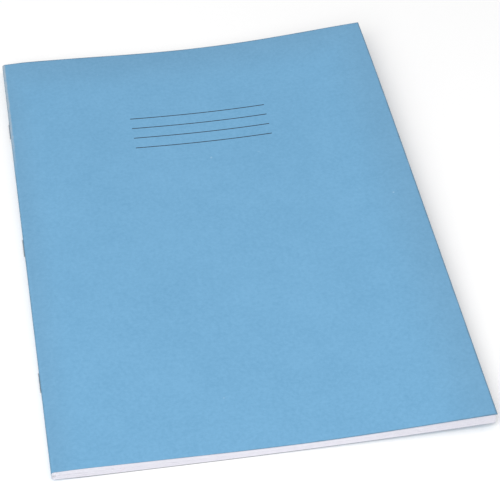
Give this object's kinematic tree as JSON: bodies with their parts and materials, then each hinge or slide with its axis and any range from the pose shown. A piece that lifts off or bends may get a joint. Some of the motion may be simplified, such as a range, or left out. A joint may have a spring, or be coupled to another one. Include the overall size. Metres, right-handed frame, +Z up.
{
  "type": "stapled exercise book",
  "caption": "Soft-covered exercise book: nested folded sheets in a folded card cover, wire-stitched through the spine; the cover and every leaf open about the staples.",
  "frame": {"origin": "middle of the book on the surface that it lies on", "axes": "+Z up out of the front cover, +Y towards the head, -X towards the spine"},
  "size_m": [0.2106, 0.297, 0.0118],
  "materials": {
    "cover_card": "matt pale blue manila card with a faint mottled fibre",
    "page_paper": "matt white writing paper",
    "staple_wire": "bright galvanised stitching wire"
  },
  "bodies": {
    "back_cover": {"back_cover": "cover_card"},
    "front_cover": {"front_cover": "cover_card"},
    "stitched_centre": {"staple_tail": "staple_wire", "staple_middle": "staple_wire", "staple_head": "staple_wire", "sheet_20_back_leaf": "page_paper"},
    "sheet_01_front_leaf": {"sheet_01_front_leaf": "page_paper"},
    "sheet_01_back_leaf": {"sheet_01_back_leaf": "page_paper"},
    "sheet_02_front_leaf": {"sheet_02_front_leaf": "page_paper"},
    "sheet_02_back_leaf": {"sheet_02_back_leaf": "page_paper"},
    "sheet_03_front_leaf": {"sheet_03_front_leaf": "page_paper"},
    "sheet_03_back_leaf": {"sheet_03_back_leaf": "page_paper"},
    "sheet_04_front_leaf": {"sheet_04_front_leaf": "page_paper"},
    "sheet_04_back_leaf": {"sheet_04_back_leaf": "page_paper"},
    "sheet_05_front_leaf": {"sheet_05_front_leaf": "page_paper"},
    "sheet_05_back_leaf": {"sheet_05_back_leaf": "page_paper"},
    "sheet_06_front_leaf": {"sheet_06_front_leaf": "page_paper"},
    "sheet_06_back_leaf": {"sheet_06_back_leaf": "page_paper"},
    "sheet_07_front_leaf": {"sheet_07_front_leaf": "page_paper"},
    "sheet_07_back_leaf": {"sheet_07_back_leaf": "page_paper"},
    "sheet_08_front_leaf": {"sheet_08_front_leaf": "page_paper"},
    "sheet_08_back_leaf": {"sheet_08_back_leaf": "page_paper"},
    "sheet_09_front_leaf": {"sheet_09_front_leaf": "page_paper"},
    "sheet_09_back_leaf": {"sheet_09_back_leaf": "page_paper"},
    "sheet_10_front_leaf": {"sheet_10_front_leaf": "page_paper"},
    "sheet_10_back_leaf": {"sheet_10_back_leaf": "page_paper"},
    "sheet_11_front_leaf": {"sheet_11_front_leaf": "page_paper"},
    "sheet_11_back_leaf": {"sheet_11_back_leaf": "page_paper"},
    "sheet_12_front_leaf": {"sheet_12_front_leaf": "page_paper"},
    "sheet_12_back_leaf": {"sheet_12_back_leaf": "page_paper"},
    "sheet_13_front_leaf": {"sheet_13_front_leaf": "page_paper"},
    "sheet_13_back_leaf": {"sheet_13_back_leaf": "page_paper"},
    "sheet_14_front_leaf": {"sheet_14_front_leaf": "page_paper"},
    "sheet_14_back_leaf": {"sheet_14_back_leaf": "page_paper"},
    "sheet_15_front_leaf": {"sheet_15_front_leaf": "page_paper"},
    "sheet_15_back_leaf": {"sheet_15_back_leaf": "page_paper"},
    "sheet_16_front_leaf": {"sheet_16_front_leaf": "page_paper"},
    "sheet_16_back_leaf": {"sheet_16_back_leaf": "page_paper"},
    "sheet_17_front_leaf": {"sheet_17_front_leaf": "page_paper"},
    "sheet_17_back_leaf": {"sheet_17_back_leaf": "page_paper"},
    "sheet_18_front_leaf": {"sheet_18_front_leaf": "page_paper"},
    "sheet_18_back_leaf": {"sheet_18_back_leaf": "page_paper"},
    "sheet_19_front_leaf": {"sheet_19_front_leaf": "page_paper"},
    "sheet_19_back_leaf": {"sheet_19_back_leaf": "page_paper"},
    "sheet_20_front_leaf": {"sheet_20_front_leaf": "page_paper"}
  },
  "joints": [
    {"name": "front_cover_hinge", "type": "hinge", "parent": "back_cover", "child": "front_cover", "pos_m": [-0.10501, 0, 0.00316], "axis": [0, -1, 0], "range_deg": [0, 176]},
    {"name": "stitching_hinge", "type": "hinge", "parent": "back_cover", "child": "stitched_centre", "pos_m": [-0.10501, 0, 0.00316], "axis": [0, -1, 0], "range_deg": [0, 86]},
    {"name": "sheet_01_front_leaf_hinge", "type": "hinge", "parent": "stitched_centre", "child": "sheet_01_front_leaf", "pos_m": [-0.10501, 0, 0.00316], "axis": [0, -1, 0], "range_deg": [0, 86]},
    {"name": "sheet_01_back_leaf_hinge", "type": "hinge", "parent": "stitched_centre", "child": "sheet_01_back_leaf", "pos_m": [-0.10501, 0, 0.00316], "axis": [0, -1, 0], "range_deg": [-82, 0]},
    {"name": "sheet_02_front_leaf_hinge", "type": "hinge", "parent": "stitched_centre", "child": "sheet_02_front_leaf", "pos_m": [-0.10501, 0, 0.00316], "axis": [0, -1, 0], "range_deg": [0, 82]},
    {"name": "sheet_02_back_leaf_hinge", "type": "hinge", "parent": "stitched_centre", "child": "sheet_02_back_leaf", "pos_m": [-0.10501, 0, 0.00316], "axis": [0, -1, 0], "range_deg": [-78, 0]},
    {"name": "sheet_03_front_leaf_hinge", "type": "hinge", "parent": "stitched_centre", "child": "sheet_03_front_leaf", "pos_m": [-0.10501, 0, 0.00316], "axis": [0, -1, 0], "range_deg": [0, 78]},
    {"name": "sheet_03_back_leaf_hinge", "type": "hinge", "parent": "stitched_centre", "child": "sheet_03_back_leaf", "pos_m": [-0.10501, 0, 0.00316], "axis": [0, -1, 0], "range_deg": [-73, 0]},
    {"name": "sheet_04_front_leaf_hinge", "type": "hinge", "parent": "stitched_centre", "child": "sheet_04_front_leaf", "pos_m": [-0.10501, 0, 0.00316], "axis": [0, -1, 0], "range_deg": [0, 73]},
    {"name": "sheet_04_back_leaf_hinge", "type": "hinge", "parent": "stitched_centre", "child": "sheet_04_back_leaf", "pos_m": [-0.10501, 0, 0.00316], "axis": [0, -1, 0], "range_deg": [-69, 0]},
    {"name": "sheet_05_front_leaf_hinge", "type": "hinge", "parent": "stitched_centre", "child": "sheet_05_front_leaf", "pos_m": [-0.10501, 0, 0.00316], "axis": [0, -1, 0], "range_deg": [0, 69]},
    {"name": "sheet_05_back_leaf_hinge", "type": "hinge", "parent": "stitched_centre", "child": "sheet_05_back_leaf", "pos_m": [-0.10501, 0, 0.00316], "axis": [0, -1, 0], "range_deg": [-65, 0]},
    {"name": "sheet_06_front_leaf_hinge", "type": "hinge", "parent": "stitched_centre", "child": "sheet_06_front_leaf", "pos_m": [-0.10501, 0, 0.00316], "axis": [0, -1, 0], "range_deg": [0, 65]},
    {"name": "sheet_06_back_leaf_hinge", "type": "hinge", "parent": "stitched_centre", "child": "sheet_06_back_leaf", "pos_m": [-0.10501, 0, 0.00316], "axis": [0, -1, 0], "range_deg": [-61, 0]},
    {"name": "sheet_07_front_leaf_hinge", "type": "hinge", "parent": "stitched_centre", "child": "sheet_07_front_leaf", "pos_m": [-0.10501, 0, 0.00316], "axis": [0, -1, 0], "range_deg": [0, 61]},
    {"name": "sheet_07_back_leaf_hinge", "type": "hinge", "parent": "stitched_centre", "child": "sheet_07_back_leaf", "pos_m": [-0.10501, 0, 0.00316], "axis": [0, -1, 0], "range_deg": [-56, 0]},
    {"name": "sheet_08_front_leaf_hinge", "type": "hinge", "parent": "stitched_centre", "child": "sheet_08_front_leaf", "pos_m": [-0.10501, 0, 0.00316], "axis": [0, -1, 0], "range_deg": [0, 56]},
    {"name": "sheet_08_back_leaf_hinge", "type": "hinge", "parent": "stitched_centre", "child": "sheet_08_back_leaf", "pos_m": [-0.10501, 0, 0.00316], "axis": [0, -1, 0], "range_deg": [-52, 0]},
    {"name": "sheet_09_front_leaf_hinge", "type": "hinge", "parent": "stitched_centre", "child": "sheet_09_front_leaf", "pos_m": [-0.10501, 0, 0.00316], "axis": [0, -1, 0], "range_deg": [0, 52]},
    {"name": "sheet_09_back_leaf_hinge", "type": "hinge", "parent": "stitched_centre", "child": "sheet_09_back_leaf", "pos_m": [-0.10501, 0, 0.00316], "axis": [0, -1, 0], "range_deg": [-48, 0]},
    {"name": "sheet_10_front_leaf_hinge", "type": "hinge", "parent": "stitched_centre", "child": "sheet_10_front_leaf", "pos_m": [-0.10501, 0, 0.00316], "axis": [0, -1, 0], "range_deg": [0, 48]},
    {"name": "sheet_10_back_leaf_hinge", "type": "hinge", "parent": "stitched_centre", "child": "sheet_10_back_leaf", "pos_m": [-0.10501, 0, 0.00316], "axis": [0, -1, 0], "range_deg": [-43, 0]},
    {"name": "sheet_11_front_leaf_hinge", "type": "hinge", "parent": "stitched_centre", "child": "sheet_11_front_leaf", "pos_m": [-0.10501, 0, 0.00316], "axis": [0, -1, 0], "range_deg": [0, 43]},
    {"name": "sheet_11_back_leaf_hinge", "type": "hinge", "parent": "stitched_centre", "child": "sheet_11_back_leaf", "pos_m": [-0.10501, 0, 0.00316], "axis": [0, -1, 0], "range_deg": [-39, 0]},
    {"name": "sheet_12_front_leaf_hinge", "type": "hinge", "parent": "stitched_centre", "child": "sheet_12_front_leaf", "pos_m": [-0.10501, 0, 0.00316], "axis": [0, -1, 0], "range_deg": [0, 39]},
    {"name": "sheet_12_back_leaf_hinge", "type": "hinge", "parent": "stitched_centre", "child": "sheet_12_back_leaf", "pos_m": [-0.10501, 0, 0.00316], "axis": [0, -1, 0], "range_deg": [-35, 0]},
    {"name": "sheet_13_front_leaf_hinge", "type": "hinge", "parent": "stitched_centre", "child": "sheet_13_front_leaf", "pos_m": [-0.10501, 0, 0.00316], "axis": [0, -1, 0], "range_deg": [0, 35]},
    {"name": "sheet_13_back_leaf_hinge", "type": "hinge", "parent": "stitched_centre", "child": "sheet_13_back_leaf", "pos_m": [-0.10501, 0, 0.00316], "axis": [0, -1, 0], "range_deg": [-31, 0]},
    {"name": "sheet_14_front_leaf_hinge", "type": "hinge", "parent": "stitched_centre", "child": "sheet_14_front_leaf", "pos_m": [-0.10501, 0, 0.00316], "axis": [0, -1, 0], "range_deg": [0, 31]},
    {"name": "sheet_14_back_leaf_hinge", "type": "hinge", "parent": "stitched_centre", "child": "sheet_14_back_leaf", "pos_m": [-0.10501, 0, 0.00316], "axis": [0, -1, 0], "range_deg": [-26, 0]},
    {"name": "sheet_15_front_leaf_hinge", "type": "hinge", "parent": "stitched_centre", "child": "sheet_15_front_leaf", "pos_m": [-0.10501, 0, 0.00316], "axis": [0, -1, 0], "range_deg": [0, 26]},
    {"name": "sheet_15_back_leaf_hinge", "type": "hinge", "parent": "stitched_centre", "child": "sheet_15_back_leaf", "pos_m": [-0.10501, 0, 0.00316], "axis": [0, -1, 0], "range_deg": [-22, 0]},
    {"name": "sheet_16_front_leaf_hinge", "type": "hinge", "parent": "stitched_centre", "child": "sheet_16_front_leaf", "pos_m": [-0.10501, 0, 0.00316], "axis": [0, -1, 0], "range_deg": [0, 22]},
    {"name": "sheet_16_back_leaf_hinge", "type": "hinge", "parent": "stitched_centre", "child": "sheet_16_back_leaf", "pos_m": [-0.10501, 0, 0.00316], "axis": [0, -1, 0], "range_deg": [-18, 0]},
    {"name": "sheet_17_front_leaf_hinge", "type": "hinge", "parent": "stitched_centre", "child": "sheet_17_front_leaf", "pos_m": [-0.10501, 0, 0.00316], "axis": [0, -1, 0], "range_deg": [0, 18]},
    {"name": "sheet_17_back_leaf_hinge", "type": "hinge", "parent": "stitched_centre", "child": "sheet_17_back_leaf", "pos_m": [-0.10501, 0, 0.00316], "axis": [0, -1, 0], "range_deg": [-13, 0]},
    {"name": "sheet_18_front_leaf_hinge", "type": "hinge", "parent": "stitched_centre", "child": "sheet_18_front_leaf", "pos_m": [-0.10501, 0, 0.00316], "axis": [0, -1, 0], "range_deg": [0, 13]},
    {"name": "sheet_18_back_leaf_hinge", "type": "hinge", "parent": "stitched_centre", "child": "sheet_18_back_leaf", "pos_m": [-0.10501, 0, 0.00316], "axis": [0, -1, 0], "range_deg": [-9, 0]},
    {"name": "sheet_19_front_leaf_hinge", "type": "hinge", "parent": "stitched_centre", "child": "sheet_19_front_leaf", "pos_m": [-0.10501, 0, 0.00316], "axis": [0, -1, 0], "range_deg": [0, 9]},
    {"name": "sheet_19_back_leaf_hinge", "type": "hinge", "parent": "stitched_centre", "child": "sheet_19_back_leaf", "pos_m": [-0.10501, 0, 0.00316], "axis": [0, -1, 0], "range_deg": [-5, 0]},
    {"name": "sheet_20_front_leaf_hinge", "type": "hinge", "parent": "stitched_centre", "child": "sheet_20_front_leaf", "pos_m": [-0.10501, 0, 0.00316], "axis": [0, -1, 0], "range_deg": [0, 5]}
  ],
  "couplings": [
    {"joint": "stitching_hinge", "follows": "front_cover_hinge", "ratio": 0.4878},
    {"joint": "sheet_01_front_leaf_hinge", "follows": "front_cover_hinge", "ratio": 0.4878},
    {"joint": "sheet_01_back_leaf_hinge", "follows": "front_cover_hinge", "ratio": -0.46341},
    {"joint": "sheet_02_front_leaf_hinge", "follows": "front_cover_hinge", "ratio": 0.46341},
    {"joint": "sheet_02_back_leaf_hinge", "follows": "front_cover_hinge", "ratio": -0.43902},
    {"joint": "sheet_03_front_leaf_hinge", "follows": "front_cover_hinge", "ratio": 0.43902},
    {"joint": "sheet_03_back_leaf_hinge", "follows": "front_cover_hinge", "ratio": -0.41463},
    {"joint": "sheet_04_front_leaf_hinge", "follows": "front_cover_hinge", "ratio": 0.41463},
    {"joint": "sheet_04_back_leaf_hinge", "follows": "front_cover_hinge", "ratio": -0.39024},
    {"joint": "sheet_05_front_leaf_hinge", "follows": "front_cover_hinge", "ratio": 0.39024},
    {"joint": "sheet_05_back_leaf_hinge", "follows": "front_cover_hinge", "ratio": -0.36585},
    {"joint": "sheet_06_front_leaf_hinge", "follows": "front_cover_hinge", "ratio": 0.36585},
    {"joint": "sheet_06_back_leaf_hinge", "follows": "front_cover_hinge", "ratio": -0.34146},
    {"joint": "sheet_07_front_leaf_hinge", "follows": "front_cover_hinge", "ratio": 0.34146},
    {"joint": "sheet_07_back_leaf_hinge", "follows": "front_cover_hinge", "ratio": -0.31707},
    {"joint": "sheet_08_front_leaf_hinge", "follows": "front_cover_hinge", "ratio": 0.31707},
    {"joint": "sheet_08_back_leaf_hinge", "follows": "front_cover_hinge", "ratio": -0.29268},
    {"joint": "sheet_09_front_leaf_hinge", "follows": "front_cover_hinge", "ratio": 0.29268},
    {"joint": "sheet_09_back_leaf_hinge", "follows": "front_cover_hinge", "ratio": -0.26829},
    {"joint": "sheet_10_front_leaf_hinge", "follows": "front_cover_hinge", "ratio": 0.26829},
    {"joint": "sheet_10_back_leaf_hinge", "follows": "front_cover_hinge", "ratio": -0.2439},
    {"joint": "sheet_11_front_leaf_hinge", "follows": "front_cover_hinge", "ratio": 0.2439},
    {"joint": "sheet_11_back_leaf_hinge", "follows": "front_cover_hinge", "ratio": -0.21951},
    {"joint": "sheet_12_front_leaf_hinge", "follows": "front_cover_hinge", "ratio": 0.21951},
    {"joint": "sheet_12_back_leaf_hinge", "follows": "front_cover_hinge", "ratio": -0.19512},
    {"joint": "sheet_13_front_leaf_hinge", "follows": "front_cover_hinge", "ratio": 0.19512},
    {"joint": "sheet_13_back_leaf_hinge", "follows": "front_cover_hinge", "ratio": -0.17073},
    {"joint": "sheet_14_front_leaf_hinge", "follows": "front_cover_hinge", "ratio": 0.17073},
    {"joint": "sheet_14_back_leaf_hinge", "follows": "front_cover_hinge", "ratio": -0.14634},
    {"joint": "sheet_15_front_leaf_hinge", "follows": "front_cover_hinge", "ratio": 0.14634},
    {"joint": "sheet_15_back_leaf_hinge", "follows": "front_cover_hinge", "ratio": -0.12195},
    {"joint": "sheet_16_front_leaf_hinge", "follows": "front_cover_hinge", "ratio": 0.12195},
    {"joint": "sheet_16_back_leaf_hinge", "follows": "front_cover_hinge", "ratio": -0.097561},
    {"joint": "sheet_17_front_leaf_hinge", "follows": "front_cover_hinge", "ratio": 0.097561},
    {"joint": "sheet_17_back_leaf_hinge", "follows": "front_cover_hinge", "ratio": -0.073171},
    {"joint": "sheet_18_front_leaf_hinge", "follows": "front_cover_hinge", "ratio": 0.073171},
    {"joint": "sheet_18_back_leaf_hinge", "follows": "front_cover_hinge", "ratio": -0.04878},
    {"joint": "sheet_19_front_leaf_hinge", "follows": "front_cover_hinge", "ratio": 0.04878},
    {"joint": "sheet_19_back_leaf_hinge", "follows": "front_cover_hinge", "ratio": -0.02439},
    {"joint": "sheet_20_front_leaf_hinge", "follows": "front_cover_hinge", "ratio": 0.02439}
  ]
}
